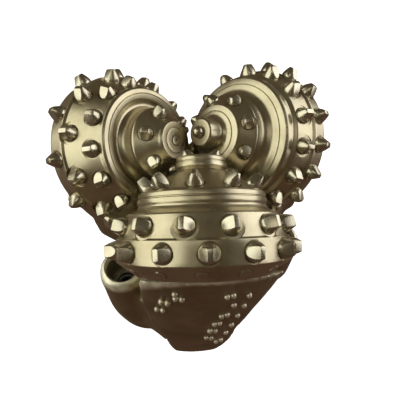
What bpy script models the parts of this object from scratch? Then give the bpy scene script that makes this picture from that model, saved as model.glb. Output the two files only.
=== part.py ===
"""Tricone rock bit, 8-1/2 in: three legs that join in a tapered rotary-shouldered pin, and three roller cones with
tungsten-carbide inserts, each turning on its leg's journal. The pin points down and the cones point up.
Origin: centre of the pin's end face, +Z along the bit's axis towards the cones. Units: metres."""

import math

import bmesh
import bpy
from mathutils import Matrix, Vector

MM = 0.001
GAP = 0.3  # clearance between touching pieces

# ------------------------------------------------------------------ driving dimensions, in millimetres and degrees
JOURNAL_ANGLE = 33.6  # journal axis against the plane across the bit
CONE_OFFSET = 4.0  # each journal axis passes the bit's axis at this distance
APEX_Z = 322.0  # height at which the journal axes pass the bit's axis
LEG_ANGLES = {"1": 30.0, "2": 150.0, "3": -90.0}
CONE_SEGS = 18
LEG_SEGS = 24

PIN_END_R, PIN_BASE_R, PIN_LENGTH = 45.2, 58.0, 107.95
SHOULDER_R, NECK_R, BORE_R = 67.7, 75.0, 28.5
ARM_R, ARM_LOW_R = 103.3, 101.0  # shirttail radius at the top and at the lower corner
CORNER_DEPTH, NECK_DEPTH = 186.0, 204.0  # below the apex
CROWN_DEPTH, CROWN_R = 108.0, 68.0
BACK_T = 99.2  # leg face behind the cone
SEAM_LOW, SEAM_HIGH = -68.0, 52.0  # weld seams of a leg, from its own direction

BOSS_ANGLE, BOSS_R, BOSS_OUT_R, BOSS_HOLE_R, BOSS_TOP = -49.5, 80.5, 19.5, 12.6, 98.5
NOZZLE_R, NOZZLE_BORE_R, NOZZLE_TOP, NOZZLE_LOW = 12.0, 5.5, 133.0, 154.0

# journal and the parts on it: radius against distance t from the apex along the axis
SEAL_R, JOURNAL_R, PILOT_R = 31.5, 28.0, 14.0
SEAL_T, RACE_T, THRUST_T, PILOT_T = 91.5, 63.0, 55.5, 41.0
GLAND_R, CONE_BORE_R, RACE_OUT_R, RACE_IN_R = 35.0, 31.1, 35.4, 23.7
BALL_R, BALL_PITCH_R, BALLS = 5.5, 29.5, 17

RESERVOIR_R, RESERVOIR_DEPTH = 11.0, 30.0
PLUG_R = 4.9

INSERT_D, INNER_D, NOSE_D, HEEL_D = 12.7, 11.0, 9.0, 8.0

# cone outlines (t, r), from the nose to the rim of the back face
SHAPE = {
    "3": [(17.5, 0.0), (17.5, 15.8), (19.1, 17.6), (25.7, 18.8), (28.5, 20.0), (42.8, 43.2), (44.2, 44.6),
          (48.6, 45.2), (51.5, 44.6), (55.0, 46.6), (57.7, 52.8), (72.2, 57.9), (73.4, 60.0), (88.4, 60.0), (98.5, 46.5)],
    "1": [(8.5, 0.0), (8.5, 9.6), (9.9, 10.6), (20.5, 11.5), (22.5, 14.0), (24.3, 22.8), (25.8, 24.0),
          (36.0, 33.0), (38.0, 32.0), (44.0, 33.0), (48.5, 38.0), (51.0, 48.4), (52.6, 49.6), (56.5, 50.2),
          (58.5, 53.0), (72.2, 57.9), (73.4, 60.0), (88.4, 60.0), (98.5, 46.5)],
    "2": [(16.0, 0.0), (16.0, 13.6), (17.4, 14.8), (18.8, 15.6), (33.5, 27.6), (36.0, 26.8), (42.5, 27.0),
          (46.0, 30.0), (46.0, 33.5), (42.9, 41.8), (43.6, 43.6), (47.5, 44.4), (72.2, 57.9), (73.4, 60.0),
          (88.4, 60.0), (98.5, 46.5)],
}
# insert rows: base point (t, r), lean towards the nose, diameter, protrusion, grip depth, count, first angle
ROWS = {
    "3": {
        "gage": (80.8, 60.0, -3.0, INSERT_D, 7.6, 7.0, 14, 0.0),
        "second": (65.6, 55.6, 14.0, INSERT_D, 8.2, 8.0, 13, 14.0),
        "inner": (39.4, 37.7, 50.0, INNER_D, 8.5, 7.0, 10, -9.0),
        "nose": (17.9, 10.6, 65.0, NOSE_D, 5.5, 6.0, 3, 60.0),
        "heel": (93.7, 52.9, -53.2, HEEL_D, 0.5, 3.8, 13, -4.0),
    },
    "1": {
        "gage": (80.0, 60.0, -3.0, INSERT_D, 7.6, 7.0, 17, 8.5),
        "second": (64.6, 55.2, 16.0, INSERT_D, 8.2, 7.5, 15, 14.0),
        "inner": (31.2, 28.7, 46.0, INNER_D, 5.2, 6.0, 8, 11.0),
        "nose": (8.5, 0.0, 90.0, NOSE_D, 6.0, 7.0, 1, 0.0),
        "heel": (93.7, 52.9, -53.2, HEEL_D, 0.5, 3.8, 13, 5.0),
    },
    "2": {
        "gage": (80.5, 60.0, -3.0, INSERT_D, 7.6, 7.0, 11, -7.0),
        "second": (68.0, 55.6, 16.0, INSERT_D, 8.2, 7.5, 11, 8.0),
        "third": (53.8, 47.8, 28.0, INSERT_D, 7.2, 7.0, 13, -1.0),
        "inner": (25.6, 21.1, 40.0, INNER_D, 6.2, 6.0, 6, -24.0),
        "nose": (16.0, 0.0, 90.0, HEEL_D, 0.5, 5.0, 1, 0.0),
        "heel": (93.7, 52.9, -53.2, HEEL_D, 0.5, 3.8, 11, 9.4),
    },
}

J = math.radians(JOURNAL_ANGLE)

for old in list(bpy.data.objects):
    bpy.data.objects.remove(old, do_unlink=True)


# ------------------------------------------------------------------ materials
def material(name, colour, metallic, roughness):
    made = bpy.data.materials.new(name)
    made.use_nodes = True
    shader = made.node_tree.nodes["Principled BSDF"]
    shader.inputs["Base Color"].default_value = (*colour, 1.0)
    shader.inputs["Metallic"].default_value = metallic
    shader.inputs["Roughness"].default_value = roughness
    made.diffuse_color = (*colour, 1.0)
    return made


KINDS = {
    "leg": ((0.30, 0.24, 0.15), 0.9, 0.34),
    "shell": ((0.52, 0.46, 0.32), 0.9, 0.30),
    "insert": ((0.46, 0.42, 0.31), 0.9, 0.26),
    "nozzle": ((0.22, 0.22, 0.23), 0.8, 0.35),
    "spring": ((0.40, 0.40, 0.42), 1.0, 0.35),
    "rubber": ((0.03, 0.03, 0.03), 0.0, 0.6),
    "bearing": ((0.62, 0.44, 0.20), 1.0, 0.35),
    "ball": ((0.65, 0.66, 0.68), 1.0, 0.15),
    "cap": ((0.35, 0.34, 0.32), 0.9, 0.4),
}


# ------------------------------------------------------------------ mesh helpers, all in millimetres
def ring_points(count, radius, z, phase=0.0):
    return [
        Vector((radius * math.cos(phase + 2 * math.pi * k / count), radius * math.sin(phase + 2 * math.pi * k / count), z))
        for k in range(count)
    ]


def revolve(profile, count, phase=0.0):
    """Closed (r, z) outline, turned about Z. Points at r = 0 become single vertices."""
    bm = bmesh.new()
    rings = []
    for r, z in profile:
        if r < 1e-6:
            rings.append([bm.verts.new((0.0, 0.0, z))])
        else:
            rings.append([bm.verts.new(p) for p in ring_points(count, r, z, phase)])
    for a, b in zip(rings, rings[1:] + rings[:1]):
        if len(a) == 1 and len(b) == 1:
            continue
        for k in range(count):
            m = (k + 1) % count
            if len(a) == 1:
                bm.faces.new((a[0], b[k], b[m]))
            elif len(b) == 1:
                bm.faces.new((a[k], b[0], a[m]))
            else:
                bm.faces.new((a[k], b[k], b[m], a[m]))
    bmesh.ops.recalc_face_normals(bm, faces=bm.faces)
    if bm.calc_volume(signed=True) < 0:
        bmesh.ops.reverse_faces(bm, faces=bm.faces)
    return bm


def loft(sections):
    """Skin over closed sections of equal length, with flat ends."""
    bm = bmesh.new()
    rings = [[bm.verts.new(p) for p in section] for section in sections]
    count = len(rings[0])
    for a, b in zip(rings, rings[1:]):
        for k in range(count):
            m = (k + 1) % count
            bm.faces.new((a[k], a[m], b[m], b[k]))
    bm.faces.new(rings[0])
    bm.faces.new(rings[-1])
    bmesh.ops.recalc_face_normals(bm, faces=bm.faces)
    if bm.calc_volume(signed=True) < 0:
        bmesh.ops.reverse_faces(bm, faces=bm.faces)
    return bm


def rod(start, end, radius, count, phase=0.0):
    start, end = Vector(start), Vector(end)
    axis = (end - start).normalized()
    side = axis.cross(Vector((0, 0, 1)))
    side = Vector((1, 0, 0)) if side.length < 1e-4 else side.normalized()
    other = axis.cross(side)
    angles = [phase + 2 * math.pi * k / count for k in range(count)]
    return loft([[p + radius * (math.cos(a) * side + math.sin(a) * other) for a in angles] for p in (start, end)])


def as_object(name, bm, matrix=None):
    mesh = bpy.data.meshes.new(name)
    if matrix is not None:
        bm.transform(matrix)
    bmesh.ops.scale(bm, vec=(MM, MM, MM), verts=bm.verts)
    bm.to_mesh(mesh)
    bm.free()
    obj = bpy.data.objects.new(name, mesh)
    bpy.context.scene.collection.objects.link(obj)
    return obj


def combine(obj, others, operation):
    """Boolean with each of the others in turn; the result replaces the object's mesh."""
    for number, other in enumerate(others):
        step = obj.modifiers.new(f"{operation.lower()}_{number}", "BOOLEAN")
        step.operation = operation
        step.solver = "EXACT"
        step.use_hole_tolerant = False
        step.object = other
        other.hide_render = True
        other.display_type = "WIRE"
        bpy.context.view_layer.update()
        graph = bpy.context.evaluated_depsgraph_get()
        mesh = bpy.data.meshes.new_from_object(obj.evaluated_get(graph), depsgraph=graph)
        obj.modifiers.clear()
        obj.data = mesh
        bpy.data.objects.remove(other, do_unlink=True)
    return obj


def finish(obj, kind):
    colour, metallic, roughness = KINDS[kind]
    obj.data.materials.clear()
    obj.data.materials.append(material(obj.name, colour, metallic, roughness))
    for face in obj.data.polygons:
        face.material_index = 0
    obj.data.shade_smooth()
    obj.data.set_sharp_from_angle(angle=math.radians(28))
    return obj


# ------------------------------------------------------------------ frames
def leg_matrix(key):
    """Leg frame: X along the leg's own direction, Z along the bit's axis, origin at the apex height."""
    return Matrix.Translation((0, 0, APEX_Z)) @ Matrix.Rotation(math.radians(LEG_ANGLES[key]), 4, "Z")


def cone_in_leg():
    """Cone frame: Z along the journal axis from nose to back, X towards the cutting side."""
    z = Vector((math.cos(J), 0.0, -math.sin(J)))
    x = Vector((math.sin(J), 0.0, math.cos(J)))
    y = z.cross(x)
    m = Matrix((x, y, z)).transposed().to_4x4()
    m.translation = Vector((0.0, CONE_OFFSET, 0.0))
    return m


CONE_IN_LEG = cone_in_leg()


def place_cone_piece(obj, key):
    world = leg_matrix(key) @ CONE_IN_LEG
    world.translation = world.translation * MM
    obj.matrix_world = world
    return obj


# ------------------------------------------------------------------ insert rows
def insert_frame(t, r, lean, angle):
    a, e = math.radians(-angle), math.radians(lean)
    radial = Vector((math.cos(a), math.sin(a), 0.0))
    axial = Vector((0.0, 0.0, 1.0))
    out = math.cos(e) * radial - math.sin(e) * axial
    side = math.sin(e) * radial + math.cos(e) * axial
    round_ = out.cross(side)
    return r * radial + t * axial, out, side, round_


def insert_row(t, r, lean, diameter, rise, grip, count, first, grow=0.0):
    """One closed body: hexagonal grips with wedge crests, tied under the skin by thin bars from socket to socket.
    With grow it is the matching hollow, open at the skin."""
    bm = bmesh.new()
    radius = diameter / 2 + grow
    low = -(grip + grow)
    slant = math.tan(math.pi / count) if count > 2 else 0.0  # the bars leave the flats at half the pitch angle
    bar_low, bar_high = -(grip - 0.9) - grow * (1.0 + slant), -(grip - 3.1) + grow * (1.6 + slant)
    bar_half = 1.3 + grow * (1.4 + slant)
    ports = []
    for number in range(count):
        base, out, side, round_ = insert_frame(t, r, lean, first + 360.0 * number / count)

        def at(c, s, h):
            return base + c * round_ + s * side + h * out

        # hexagon with flats towards the neighbours
        hexagon = [(radius * math.cos(math.radians(30 + 60 * k)), radius * math.sin(math.radians(30 + 60 * k))) for k in range(6)]
        if grow:
            top = 9.0
            levels = [low, top]
        else:
            levels = [low, rise * 0.45 if rise > 1 else rise]
        rings = [[bm.verts.new(at(c, s, h)) for c, s in hexagon] for h in levels]
        bm.faces.new(rings[0])
        flats = {}
        for k in range(6):
            m = (k + 1) % 6
            quad = (rings[0][k], rings[0][m], rings[1][m], rings[1][k])
            # edge 5-0 faces +round, edge 2-3 faces -round
            if count > 1 and k in (5, 2):
                flats[k] = quad
            else:
                bm.faces.new(quad)
        if count > 1:
            x = radius * math.cos(math.radians(30))
            for k, sign in ((5, 1.0), (2, -1.0)):
                # bar mouth: a triangle, wide side down
                mouth = [bm.verts.new(at(sign * x, s, h)) for s, h in ((-bar_half, bar_low), (bar_half, bar_low), (0.0, bar_high))]
                lo_a, lo_b, hi_b, hi_a = flats[k]
                s_of = {v: (v.co - base).dot(side) for v in (lo_a, lo_b)}
                if s_of[lo_a] > s_of[lo_b]:
                    lo_a, lo_b, hi_a, hi_b = lo_b, lo_a, hi_b, hi_a
                bm.faces.new((lo_a, lo_b, mouth[1], mouth[0]))
                bm.faces.new((lo_b, hi_b, mouth[2], mouth[1]))
                bm.faces.new((hi_b, hi_a, mouth[2]))
                bm.faces.new((hi_a, lo_a, mouth[0], mouth[2]))
                ports.append((number, k, mouth))
        if grow or rise <= 1:
            bm.faces.new(rings[1])
        elif count == 1:
            peak = bm.verts.new(at(0, 0, rise))
            for k in range(6):
                bm.faces.new((rings[1][k], rings[1][(k + 1) % 6], peak))
        else:
            # wedge crest along the row's own axis plane
            half = radius * 0.55
            c0, c1 = bm.verts.new(at(0, half, rise)), bm.verts.new(at(0, -half, rise))
            top = rings[1]
            bm.faces.new((top[0], top[1], c0))
            bm.faces.new((top[1], top[2], c0))
            bm.faces.new((top[2], top[3], c1, c0))
            bm.faces.new((top[3], top[4], c1))
            bm.faces.new((top[4], top[5], c1))
            bm.faces.new((top[5], top[0], c0, c1))
    if count > 1:
        plus = {n: m for n, k, m in ports if k == 5}
        minus = {n: m for n, k, m in ports if k == 2}
        # neighbours: which way round the +round side looks
        b0, _, _, r0 = insert_frame(t, r, lean, first)
        b1 = insert_frame(t, r, lean, first + 360.0 / count)[0]
        step = 1 if (b1 - b0).dot(r0) > 0 else -1
        for n in range(count):
            a, b = plus[n], minus[(n + step) % count]
            for k in range(3):
                m = (k + 1) % 3
                bm.faces.new((a[k], a[m], b[m], b[k]))
    bmesh.ops.triangulate(bm, faces=bm.faces)
    bmesh.ops.recalc_face_normals(bm, faces=bm.faces)
    if bm.calc_volume(signed=True) < 0:
        bmesh.ops.reverse_faces(bm, faces=bm.faces)
    return bm


# ------------------------------------------------------------------ cones
def build_cone(key):
    outline = [(r, t) for t, r in SHAPE[key]]
    bore = [
        (GLAND_R, 98.5), (GLAND_R, 91.0), (CONE_BORE_R, 91.0), (CONE_BORE_R, 69.5), (RACE_OUT_R, 65.8), (RACE_OUT_R, 60.2),
        (CONE_BORE_R, 56.5), (CONE_BORE_R, 52.6), (PILOT_R + 0.5, 52.6), (PILOT_R + 0.5, 40.4), (0.0, 40.4),
    ]
    shell = as_object(f"cone_{key}_shell", revolve(outline + bore, CONE_SEGS))
    cutters = []
    for name, row in ROWS[key].items():
        cutters.append(as_object("cut", insert_row(*row, grow=GAP)))
    combine(shell, cutters, "DIFFERENCE")
    place_cone_piece(finish(shell, "shell"), key)
    for name, row in ROWS[key].items():
        obj = as_object(f"cone_{key}_{name}_inserts" if row[6] > 1 else f"cone_{key}_{name}_insert", insert_row(*row))
        place_cone_piece(finish(obj, "insert"), key)


# ------------------------------------------------------------------ bearing parts of one cone
def build_bearing(key):
    seal = as_object(f"seal_ring_{key}", revolve([(32.6, 91.8), (34.3, 91.8), (34.3, 97.4), (32.6, 97.4)], 14))
    place_cone_piece(finish(seal, "rubber"), key)
    bush = as_object(f"journal_bushing_{key}", revolve([(28.8, 71.0), (30.4, 71.0), (30.4, 90.4), (28.8, 90.4)], 14))
    place_cone_piece(finish(bush, "bearing"), key)
    washer = as_object(f"thrust_washer_{key}", revolve([(15.2, 53.0), (27.2, 53.0), (27.2, 55.1), (15.2, 55.1)], 12))
    place_cone_piece(finish(washer, "bearing"), key)
    # full complement of balls, each just meeting the next
    chord = 2 * BALL_PITCH_R * math.sin(math.pi / BALLS)
    reach = chord / 2
    bm = bmesh.new()
    rings = []
    for n in range(BALLS):
        a = 2 * math.pi * n / BALLS
        centre = Vector((BALL_PITCH_R * math.cos(a), BALL_PITCH_R * math.sin(a), RACE_T))
        radial, round_ = Vector((math.cos(a), math.sin(a), 0)), Vector((-math.sin(a), math.cos(a), 0))
        mid = [bm.verts.new(centre + 0.96 * BALL_R * (math.cos(q) * radial + math.sin(q) * Vector((0, 0, 1)))) for q in (math.pi + k * 2 * math.pi / 3 for k in range(3))]
        rings.append((mid, centre, radial, round_, a))
    necks = []
    for n in range(BALLS):
        a = 2 * math.pi * (n + 0.5) / BALLS
        centre = Vector((BALL_PITCH_R * math.cos(math.pi / BALLS) * math.cos(a), BALL_PITCH_R * math.cos(math.pi / BALLS) * math.sin(a), RACE_T))
        radial = Vector((math.cos(a), math.sin(a), 0))
        necks.append([bm.verts.new(centre + 1.1 * (math.cos(q) * radial + math.sin(q) * Vector((0, 0, 1)))) for q in (math.pi + k * 2 * math.pi / 3 for k in range(3))])
    for n in range(BALLS):
        for first, second in ((rings[n][0], necks[n]), (necks[n], rings[(n + 1) % BALLS][0])):
            for k in range(3):
                m = (k + 1) % 3
                bm.faces.new((first[k], first[m], second[m], second[k]))
    bmesh.ops.triangulate(bm, faces=bm.faces)
    bmesh.ops.recalc_face_normals(bm, faces=bm.faces)
    if bm.calc_volume(signed=True) < 0:
        bmesh.ops.reverse_faces(bm, faces=bm.faces)
    place_cone_piece(finish(as_object(f"ball_set_{key}", bm), "ball"), key)


# ------------------------------------------------------------------ legs
def local(radius, angle, depth):
    a = math.radians(angle)
    return Vector((radius * math.cos(a), radius * math.sin(a), -depth))


def journal_profile():
    return [
        (0.0, BACK_T + 1.4), (SEAL_R, BACK_T + 1.4), (SEAL_R, SEAL_T), (JOURNAL_R, SEAL_T), (JOURNAL_R, 69.0),
        (RACE_IN_R, 65.6), (RACE_IN_R, 60.4), (JOURNAL_R, 57.0), (JOURNAL_R, THRUST_T), (PILOT_R, THRUST_T), (PILOT_R, PILOT_T + 1.5),
        (PILOT_R - 1.5, PILOT_T), (0.0, PILOT_T),
    ]


def build_leg(key):
    apex = APEX_Z
    # outer envelope of the whole bit body, as turned about the bit's axis
    envelope = [
        (0.0, -apex), (PIN_END_R - 3.0, -apex), (PIN_END_R, -apex + 3.0), (PIN_BASE_R - 1.4, -apex + 96.0), (PIN_BASE_R - 3.2, -apex + 98.0),
        (PIN_BASE_R - 3.2, -apex + PIN_LENGTH), (SHOULDER_R, -apex + PIN_LENGTH), (NECK_R, -apex + PIN_LENGTH + 6.0), (NECK_R, -NECK_DEPTH),
        (ARM_LOW_R, -CORNER_DEPTH), (ARM_R, -140.0), (ARM_R, 0.0), (0.0, 0.0),
    ]
    body = as_object(f"leg_{key}", revolve(envelope, LEG_SEGS))
    # the arm's outline as seen from outside: broad behind the cone, narrowing to the shank
    arm = [
        (44.0, 0.0), (66.0, -30.0), (65.0, -57.0), (54.5, -73.0), (42.5, -105.0), (33.0, -130.0), (30.5, -163.0), (24.0, -178.0), (17.0, -187.0),
        (17.0, -206.0), (-17.0, -206.0), (-19.0, -187.0), (-23.0, -172.0), (-26.0, -150.0), (-28.0, -134.0), (-37.0, -112.0), (-40.0, -80.0), (-40.0, 0.0),
    ]
    arm_block = loft([[Vector((x, y, z)) for y, z in arm] for x in (20.0, 120.0)])
    # round core under the cones, and the shank and pin below it
    core = [
        (0.0, -apex - 1.0), (NECK_R + 1.0, -apex - 1.0), (NECK_R + 1.0, -190.0), (80.0, -184.0), (CROWN_R + 6.0, -150.0), (CROWN_R, -126.0),
        (CROWN_R - 12.0, -CROWN_DEPTH), (0.0, -CROWN_DEPTH),
    ]
    keep = as_object("keep", revolve(core, LEG_SEGS, phase=math.radians(1.3)))
    boss_axis = local(BOSS_R, BOSS_ANGLE, 0)
    boss_sections = []
    for depth, radius, reach, angle in (
        (BOSS_TOP, BOSS_OUT_R - 3.2, BOSS_R, BOSS_ANGLE), (BOSS_TOP + 1.8, BOSS_OUT_R - 1.1, BOSS_R, BOSS_ANGLE), (BOSS_TOP + 5.0, BOSS_OUT_R, BOSS_R, BOSS_ANGLE),
        (152.0, BOSS_OUT_R, BOSS_R, -48.3),
        (165.0, 19.3, 79.6, -45.8), (179.0, 18.6, 77.5, -41.4), (197.0, 15.5, 72.0, -36.0),
    ):
        centre = local(reach, angle, depth)
        boss_sections.append([centre + Vector((radius * math.cos(2 * math.pi * k / 14), radius * math.sin(2 * math.pi * k / 14), 0)) for k in range(14)])
    boss = as_object("boss", loft(boss_sections))
    # web between the boss and the arm
    web_plan = [local(60, -46, 0), local(89, -43, 0), local(93, -17, 0), local(60, -17, 0)]
    web = as_object("web", loft([[Vector((p.x, p.y, -z)) for p in web_plan] for z in (186.0, 121.0)]))
    combine(keep, [as_object("arm", arm_block), web], "UNION")
    combine(body, [keep], "INTERSECT")
    # pocket behind and around the cone
    pocket = revolve([(0.0, -30.0), (60.0, -30.0), (71.5, 55.0), (71.5, BACK_T), (0.0, BACK_T)], 24, phase=0.03)
    pocket.transform(CONE_IN_LEG)
    side_pocket = []
    for turn in (120.0, -120.0):
        bm = revolve([(0.0, -30.0), (60.0, -30.0), (71.5, 55.0), (71.5, BACK_T), (0.0, BACK_T)], 16, phase=0.05)
        bm.transform(Matrix.Rotation(math.radians(turn), 4, "Z") @ CONE_IN_LEG)
        side_pocket.append(as_object("side_pocket", bm))
    combine(body, [boss], "UNION")
    combine(body, [as_object("pocket", pocket)] + side_pocket, "DIFFERENCE")
    pin = revolve(journal_profile(), 14, phase=0.02)
    pin.transform(CONE_IN_LEG)
    combine(body, [as_object("journal", pin)], "UNION")
    # one third of the body, with the weld seams as its sides
    gap = GAP / 2
    sector = []
    low, high = math.radians(SEAM_LOW), math.radians(SEAM_HIGH)
    mid = (low + high) / 2
    tip = gap / math.sin((high - low) / 2)
    start = Vector((tip * math.cos(mid), tip * math.sin(mid)))
    for z in (-apex - 5.0, 20.0):
        sector.append([Vector((start.x, start.y, z)), Vector((start.x + 260 * math.cos(low), start.y + 260 * math.sin(low), z)), Vector((start.x + 400 * math.cos(mid), start.y + 400 * math.sin(mid), z)), Vector((start.x + 260 * math.cos(high), start.y + 260 * math.sin(high), z))])
    combine(body, [as_object("sector", loft(sector))], "INTERSECT")
    # bore, plenum and the passage to the nozzle
    bore = revolve([(0.0, -apex - 2.0), (BORE_R, -apex - 2.0), (BORE_R, -172.0), (16.0, -156.0), (0.0, -152.0)], 21, phase=0.07)
    passage = rod(local(6.0, BOSS_ANGLE, 178.0), local(BOSS_R - 2.0, BOSS_ANGLE, 163.5), 8.5, 12, 0.1)
    hole = revolve([(0.0, -170.0), (8.8, -170.0), (8.8, -155.0), (BOSS_HOLE_R, -154.5), (BOSS_HOLE_R, -149.0), (14.6, -149.0), (14.6, -145.4), (BOSS_HOLE_R, -145.4), (BOSS_HOLE_R, -131.6), (14.4, -131.6), (14.4, -129.0), (BOSS_HOLE_R, -129.0), (BOSS_HOLE_R, -102.0), (14.6, -98.5), (14.6, -90.0), (0.0, -90.0)], 10)
    hole.transform(Matrix.Translation(boss_axis))
    # grease reservoir in the lower slope of the arm
    slope = Vector((ARM_LOW_R - NECK_R, 0, -CORNER_DEPTH + NECK_DEPTH)).normalized()
    inward = Vector((-slope.z, 0, slope.x))
    mouth = Vector(((ARM_LOW_R + NECK_R) / 2, 0, -(CORNER_DEPTH + NECK_DEPTH) / 2))
    turn = inward.to_track_quat("Z", "Y").to_matrix().to_4x4()
    turn.translation = mouth
    well = revolve([(0.0, -8.0), (RESERVOIR_R, -8.0), (RESERVOIR_R, 1.6), (RESERVOIR_R + 1.6, 1.6), (RESERVOIR_R + 1.6, 3.6), (RESERVOIR_R, 3.6), (RESERVOIR_R, RESERVOIR_DEPTH), (0.0, RESERVOIR_DEPTH)], 10)
    well.transform(turn)
    plug_a, plug_b = Vector((103.3, CONE_OFFSET, -81.4)), Vector((44.0, CONE_OFFSET, -52.8))
    along = (plug_b - plug_a).normalized()
    loading = rod(plug_a - 8 * along, plug_b + 2 * along, PLUG_R + GAP, 10, 0.13)
    waterway = as_object("bore", bore)
    combine(waterway, [as_object("passage", passage), as_object("hole", hole)], "UNION")
    combine(body, [waterway, as_object("well", well), as_object("loading", loading)], "DIFFERENCE")
    world = leg_matrix(key)
    world.translation = world.translation * MM
    body.matrix_world = world
    finish(body, "leg")

    def add(name, bm, kind, frame=None):
        obj = as_object(name, bm, frame)
        obj.matrix_world = world
        return finish(obj, kind)

    shift = Matrix.Translation(boss_axis)
    add(f"nozzle_{key}", revolve([(NOZZLE_R, -NOZZLE_LOW), (NOZZLE_R, -NOZZLE_TOP), (NOZZLE_BORE_R + 1.2, -NOZZLE_TOP), (NOZZLE_BORE_R, -NOZZLE_TOP - 4.0), (NOZZLE_BORE_R, -NOZZLE_TOP - 12.0), (8.4, -NOZZLE_LOW)], 10), "nozzle", shift)
    clip = [(r, z) for r, z in ((9.4, -131.3), (13.6, -131.3), (13.6, -129.3), (9.4, -129.3))]
    add(f"nozzle_snap_ring_{key}", open_ring(clip, 8, 40.0), "spring", shift)
    add(f"nozzle_o_ring_{key}", revolve([(12.7, -147.2), (13.4, -145.9), (14.1, -147.2), (13.4, -148.5)], 10), "rubber", shift)
    add(f"reservoir_cap_{key}", revolve([(0.0, 4.0), (RESERVOIR_R - 0.6, 4.0), (RESERVOIR_R - 0.6, 8.0), (0.0, 8.0)], 10), "cap", turn)
    add(f"reservoir_snap_ring_{key}", open_ring([(7.6, 1.9), (RESERVOIR_R + 0.8, 1.9), (RESERVOIR_R + 0.8, 3.3), (7.6, 3.3)], 8, 40.0), "spring", turn)
    add(f"diaphragm_{key}", revolve([(0.0, 26.0), (0.0, 24.4), (7.4, 24.4), (8.0, 8.6), (10.4, 8.6), (10.4, 10.6), (9.4, 10.6), (8.6, 26.0)], 10), "rubber", turn)
    add(f"ball_plug_{key}", rod(plug_a + 0.6 * along, plug_b - 3.4 * along, PLUG_R, 10, 0.13), "cap")


def open_ring(profile, count, mouth):
    """Snap ring: (r, z) section swept round Z, with a gap of this many degrees."""
    sections = []
    for k in range(count + 1):
        a = math.radians(mouth / 2 + (360.0 - mouth) * k / count)
        sections.append([Vector((r * math.cos(a), r * math.sin(a), z)) for r, z in profile])
    return loft(sections)


for which in LEG_ANGLES:
    build_leg(which)
    build_cone(which)
    build_bearing(which)
bpy.context.view_layer.update()
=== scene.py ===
"""Looks of the roller-cone rock bit: turned and painted cones, studded rows, forged legs, threaded pin."""

import math

import bmesh
import bpy
from mathutils import Matrix, Vector, noise


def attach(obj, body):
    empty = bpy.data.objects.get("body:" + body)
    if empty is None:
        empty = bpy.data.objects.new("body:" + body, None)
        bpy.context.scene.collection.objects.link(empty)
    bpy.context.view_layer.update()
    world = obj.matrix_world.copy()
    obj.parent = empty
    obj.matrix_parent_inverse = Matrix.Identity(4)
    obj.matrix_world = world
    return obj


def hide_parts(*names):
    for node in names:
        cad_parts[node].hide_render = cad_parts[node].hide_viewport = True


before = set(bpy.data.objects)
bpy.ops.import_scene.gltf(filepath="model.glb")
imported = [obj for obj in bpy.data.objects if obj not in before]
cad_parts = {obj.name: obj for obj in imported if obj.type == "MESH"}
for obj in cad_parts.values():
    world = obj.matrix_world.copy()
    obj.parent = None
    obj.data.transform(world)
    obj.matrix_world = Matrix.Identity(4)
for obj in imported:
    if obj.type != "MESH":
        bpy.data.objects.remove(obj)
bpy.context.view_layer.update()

scene = bpy.context.scene
MM = 0.001

# ------------------------------------------------------------------ layout, in millimetres and degrees
J = math.radians(33.6)
OFFSET, APEX_Z = 4.0, 322.0
LEG_ANGLES = {"1": 30.0, "2": 150.0, "3": -90.0}
BOSS_ANGLE, BOSS_R, BOSS_TOP, BOSS_HOLE_R = -49.5, 80.5, 98.5, 12.6
ARM_R, ARM_LOW_R, NECK_R, SHOULDER_R = 103.3, 101.0, 75.0, 67.7
CORNER_DEPTH, NECK_DEPTH, BACK_T, BORE_R = 186.0, 204.0, 99.2, 28.5
PIN_END_R, PIN_BASE_R, PIN_LENGTH = 45.2, 58.0, 107.95

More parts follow.
